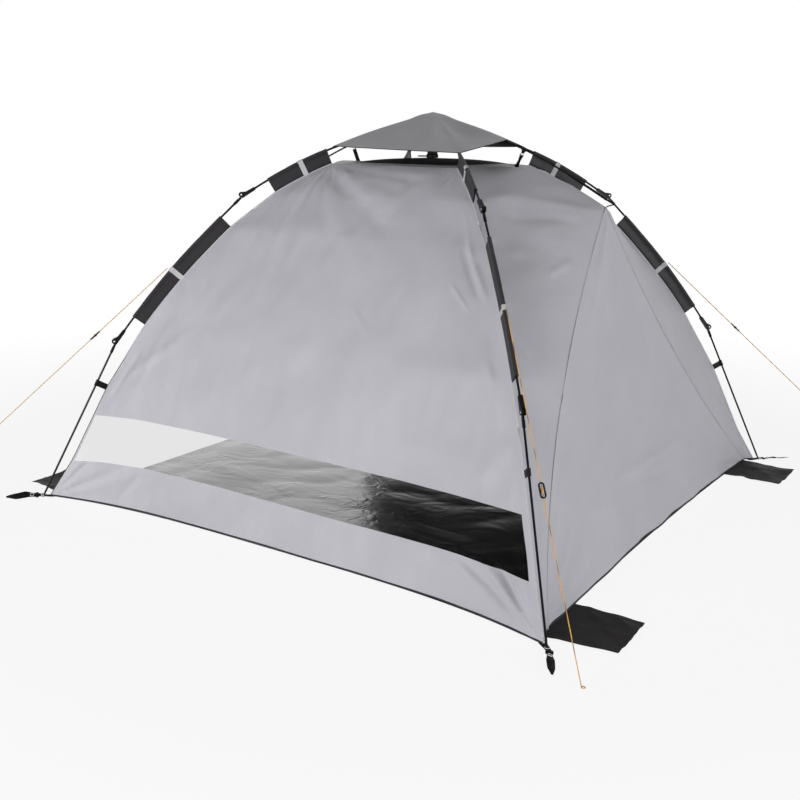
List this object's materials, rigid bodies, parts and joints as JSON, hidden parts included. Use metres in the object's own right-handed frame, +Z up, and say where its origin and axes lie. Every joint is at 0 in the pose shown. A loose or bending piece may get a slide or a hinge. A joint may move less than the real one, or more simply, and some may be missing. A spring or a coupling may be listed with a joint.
{
  "type": "beach tent",
  "caption": "Quick-up beach tent with an open front, folding hub frame, clear side windows, roof vent under a rain cap, guy lines and sand flaps.",
  "frame": {"origin": "middle of the tent's floor, on the ground under the hub", "axes": "+Z up along the hub; the open entrance faces -Y and the window walls face +X and -X"},
  "size_m": [2.5251, 3.2166, 1.5003],
  "materials": {
    "black_nylon": "moulded",
    "black_fibreglass": "smooth",
    "zinc_steel": "zinc plated",
    "silver_polyester": "silver coated",
    "grey_polyester": "coated",
    "dark_polyester": "woven",
    "vent_mesh": "mesh",
    "clear_vinyl": "clear film",
    "black_polyethylene": "glossy",
    "yellow_cord": "braided"
  },
  "bodies": {
    "canopy": {"hub_body": "black_nylon", "side_wall_right": "silver_polyester", "side_wall_left": "silver_polyester", "rear_wall": "silver_polyester", "front_awning": "silver_polyester", "roof_panel": "silver_polyester", "vent_mesh": "vent_mesh", "rain_cap": "grey_polyester", "window_film_right": "clear_vinyl", "window_film_left": "clear_vinyl", "groundsheet": "black_polyethylene"},
    "runner": {"hub_runner": "black_nylon"},
    "arm_front_right": {"leg_arm_front_right": "black_fibreglass", "upper_elbow_front_right": "black_nylon", "arm_sleeve_front_right": "dark_polyester"},
    "mid_front_right": {"mid_pole_front_right": "black_fibreglass", "lower_elbow_front_right": "black_nylon", "mid_sleeve_front_right": "dark_polyester", "guy_line_front_right": "yellow_cord"},
    "lower_front_right": {"lower_pole_front_right": "black_fibreglass", "leg_clip_front_right": "black_nylon"},
    "slider_front_right": {"guy_slider_front_right": "black_nylon"},
    "link_front_right": {"hub_link_front_right": "zinc_steel"},
    "arm_rear_right": {"leg_arm_rear_right": "black_fibreglass", "upper_elbow_rear_right": "black_nylon", "arm_sleeve_rear_right": "dark_polyester"},
    "mid_rear_right": {"mid_pole_rear_right": "black_fibreglass", "lower_elbow_rear_right": "black_nylon", "mid_sleeve_rear_right": "dark_polyester", "guy_line_rear_right": "yellow_cord"},
    "lower_rear_right": {"lower_pole_rear_right": "black_fibreglass", "leg_clip_rear_right": "black_nylon"},
    "slider_rear_right": {"guy_slider_rear_right": "black_nylon"},
    "link_rear_right": {"hub_link_rear_right": "zinc_steel"},
    "arm_rear_left": {"leg_arm_rear_left": "black_fibreglass", "upper_elbow_rear_left": "black_nylon", "arm_sleeve_rear_left": "dark_polyester"},
    "mid_rear_left": {"mid_pole_rear_left": "black_fibreglass", "lower_elbow_rear_left": "black_nylon", "mid_sleeve_rear_left": "dark_polyester", "guy_line_rear_left": "yellow_cord"},
    "lower_rear_left": {"lower_pole_rear_left": "black_fibreglass", "leg_clip_rear_left": "black_nylon"},
    "slider_rear_left": {"guy_slider_rear_left": "black_nylon"},
    "link_rear_left": {"hub_link_rear_left": "zinc_steel"},
    "arm_front_left": {"leg_arm_front_left": "black_fibreglass", "upper_elbow_front_left": "black_nylon", "arm_sleeve_front_left": "dark_polyester"},
    "mid_front_left": {"mid_pole_front_left": "black_fibreglass", "lower_elbow_front_left": "black_nylon", "mid_sleeve_front_left": "dark_polyester", "guy_line_front_left": "yellow_cord"},
    "lower_front_left": {"lower_pole_front_left": "black_fibreglass", "leg_clip_front_left": "black_nylon"},
    "slider_front_left": {"guy_slider_front_left": "black_nylon"},
    "link_front_left": {"hub_link_front_left": "zinc_steel"},
    "brow_front": {"brow_rod_front": "black_fibreglass", "brow_strap_front": "dark_polyester"},
    "brow_rear": {"brow_rod_rear": "black_fibreglass", "brow_strap_rear": "dark_polyester"}
  },
  "joints": [
    {"name": "frame_fold", "type": "hinge", "parent": "canopy", "child": "arm_front_right", "pos_m": [0.03394, -0.03394, 1.462], "axis": [0.7071, 0.7071, 0], "range_deg": [0, 63], "deforming": ["side_wall_right", "side_wall_left", "rear_wall", "front_awning", "roof_panel", "vent_mesh", "rain_cap", "window_film_right", "window_film_left", "groundsheet", "arm_sleeve_front_right", "mid_sleeve_front_right", "leg_clip_front_right", "guy_line_front_right", "arm_sleeve_rear_right", "mid_sleeve_rear_right", "leg_clip_rear_right", "guy_line_rear_right", "arm_sleeve_rear_left", "mid_sleeve_rear_left", "leg_clip_rear_left", "guy_line_rear_left", "arm_sleeve_front_left", "mid_sleeve_front_left", "leg_clip_front_left", "guy_line_front_left", "brow_strap_front", "brow_strap_rear"]},
    {"name": "upper_elbow_hinge_front_right", "type": "hinge", "parent": "arm_front_right", "child": "mid_front_right", "pos_m": [0.53033, -0.53033, 1.18], "axis": [-0.7071, -0.7071, 0], "range_deg": [0, 181]},
    {"name": "lower_elbow_hinge_front_right", "type": "hinge", "parent": "mid_front_right", "child": "lower_front_right", "pos_m": [0.88388, -0.88388, 0.62], "axis": [-0.7178, -0.6955, 0.0311], "range_deg": [0, 190]},
    {"name": "slider_slide_front_right", "type": "slide", "parent": "mid_front_right", "child": "slider_front_right", "axis": [0.3857, -0.6322, -0.672], "range_m": [-0.2, 0.25]},
    {"name": "arm_hinge_rear_right", "type": "hinge", "parent": "canopy", "child": "arm_rear_right", "pos_m": [0.03394, 0.03394, 1.462], "axis": [-0.7071, 0.7071, 0], "range_deg": [0, 63]},
    {"name": "upper_elbow_hinge_rear_right", "type": "hinge", "parent": "arm_rear_right", "child": "mid_rear_right", "pos_m": [0.53033, 0.53033, 1.18], "axis": [0.7071, -0.7071, 0], "range_deg": [0, 181]},
    {"name": "lower_elbow_hinge_rear_right", "type": "hinge", "parent": "mid_rear_right", "child": "lower_rear_right", "pos_m": [0.88388, 0.88388, 0.62], "axis": [0.6955, -0.7178, 0.0311], "range_deg": [0, 190]},
    {"name": "slider_slide_rear_right", "type": "slide", "parent": "mid_rear_right", "child": "slider_rear_right", "axis": [0.436, 0.4601, -0.7734], "range_m": [-0.16, 0.25]},
    {"name": "arm_hinge_rear_left", "type": "hinge", "parent": "canopy", "child": "arm_rear_left", "pos_m": [-0.03394, 0.03394, 1.462], "axis": [-0.7071, -0.7071, 0], "range_deg": [0, 63]},
    {"name": "upper_elbow_hinge_rear_left", "type": "hinge", "parent": "arm_rear_left", "child": "mid_rear_left", "pos_m": [-0.53033, 0.53033, 1.18], "axis": [0.7071, 0.7071, 0], "range_deg": [0, 181]},
    {"name": "lower_elbow_hinge_rear_left", "type": "hinge", "parent": "mid_rear_left", "child": "lower_rear_left", "pos_m": [-0.88388, 0.88388, 0.62], "axis": [0.7178, 0.6955, 0.0311], "range_deg": [0, 190]},
    {"name": "slider_slide_rear_left", "type": "slide", "parent": "mid_rear_left", "child": "slider_rear_left", "axis": [-0.3594, 0.6549, -0.6648], "range_m": [-0.2, 0.25]},
    {"name": "arm_hinge_front_left", "type": "hinge", "parent": "canopy", "child": "arm_front_left", "pos_m": [-0.03394, -0.03394, 1.462], "axis": [0.7071, -0.7071, 0], "range_deg": [0, 63]},
    {"name": "upper_elbow_hinge_front_left", "type": "hinge", "parent": "arm_front_left", "child": "mid_front_left", "pos_m": [-0.53033, -0.53033, 1.18], "axis": [-0.7071, 0.7071, 0], "range_deg": [0, 181]},
    {"name": "lower_elbow_hinge_front_left", "type": "hinge", "parent": "mid_front_left", "child": "lower_front_left", "pos_m": [-0.88388, -0.88388, 0.62], "axis": [-0.6955, 0.7178, 0.0311], "range_deg": [0, 190]},
    {"name": "slider_slide_front_left", "type": "slide", "parent": "mid_front_left", "child": "slider_front_left", "axis": [-0.3699, -0.6285, -0.6843], "range_m": [-0.2, 0.25]},
    {"name": "brow_hinge_front", "type": "hinge", "parent": "canopy", "child": "brow_front", "pos_m": [0, -0.048, 1.462], "axis": [1, 0, 0], "range_deg": [0, 63]},
    {"name": "brow_hinge_rear", "type": "hinge", "parent": "canopy", "child": "brow_rear", "pos_m": [0, 0.048, 1.462], "axis": [-1, 0, 0], "range_deg": [0, 63]},
    {"name": "runner_slide", "type": "slide", "parent": "canopy", "child": "runner", "axis": [0, 0, -1], "range_m": [0, 0.03627]},
    {"name": "link_hinge_front_right", "type": "hinge", "parent": "runner", "child": "link_front_right", "pos_m": [0.01202, -0.01202, 1.3955], "axis": [-0.7071, -0.7071, 0], "range_deg": [0, 15.51]},
    {"name": "link_hinge_rear_right", "type": "hinge", "parent": "runner", "child": "link_rear_right", "pos_m": [0.01202, 0.01202, 1.3955], "axis": [0.7071, -0.7071, 0], "range_deg": [0, 15.51]},
    {"name": "link_hinge_rear_left", "type": "hinge", "parent": "runner", "child": "link_rear_left", "pos_m": [-0.01202, 0.01202, 1.3955], "axis": [0.7071, 0.7071, 0], "range_deg": [0, 15.51]},
    {"name": "link_hinge_front_left", "type": "hinge", "parent": "runner", "child": "link_front_left", "pos_m": [-0.01202, -0.01202, 1.3955], "axis": [-0.7071, 0.7071, 0], "range_deg": [0, 15.51]}
  ],
  "couplings": [
    {"joint": "upper_elbow_hinge_front_right", "follows": "frame_fold", "ratio": 2.873},
    {"joint": "lower_elbow_hinge_front_right", "follows": "frame_fold", "ratio": 3.0159},
    {"joint": "arm_hinge_rear_right", "follows": "frame_fold", "ratio": 1},
    {"joint": "upper_elbow_hinge_rear_right", "follows": "frame_fold", "ratio": 2.873},
    {"joint": "lower_elbow_hinge_rear_right", "follows": "frame_fold", "ratio": 3.0159},
    {"joint": "arm_hinge_rear_left", "follows": "frame_fold", "ratio": 1},
    {"joint": "upper_elbow_hinge_rear_left", "follows": "frame_fold", "ratio": 2.873},
    {"joint": "lower_elbow_hinge_rear_left", "follows": "frame_fold", "ratio": 3.0159},
    {"joint": "arm_hinge_front_left", "follows": "frame_fold", "ratio": 1},
    {"joint": "upper_elbow_hinge_front_left", "follows": "frame_fold", "ratio": 2.873},
    {"joint": "lower_elbow_hinge_front_left", "follows": "frame_fold", "ratio": 3.0159},
    {"joint": "brow_hinge_front", "follows": "frame_fold", "ratio": 1},
    {"joint": "brow_hinge_rear", "follows": "frame_fold", "ratio": 1},
    {"joint": "runner_slide", "follows": "frame_fold", "m_per_rad": 0.032977},
    {"joint": "link_hinge_front_right", "follows": "frame_fold", "ratio": 0.24608},
    {"joint": "link_hinge_rear_right", "follows": "frame_fold", "ratio": 0.24608},
    {"joint": "link_hinge_rear_left", "follows": "frame_fold", "ratio": 0.24608},
    {"joint": "link_hinge_front_left", "follows": "frame_fold", "ratio": 0.24608}
  ]
}
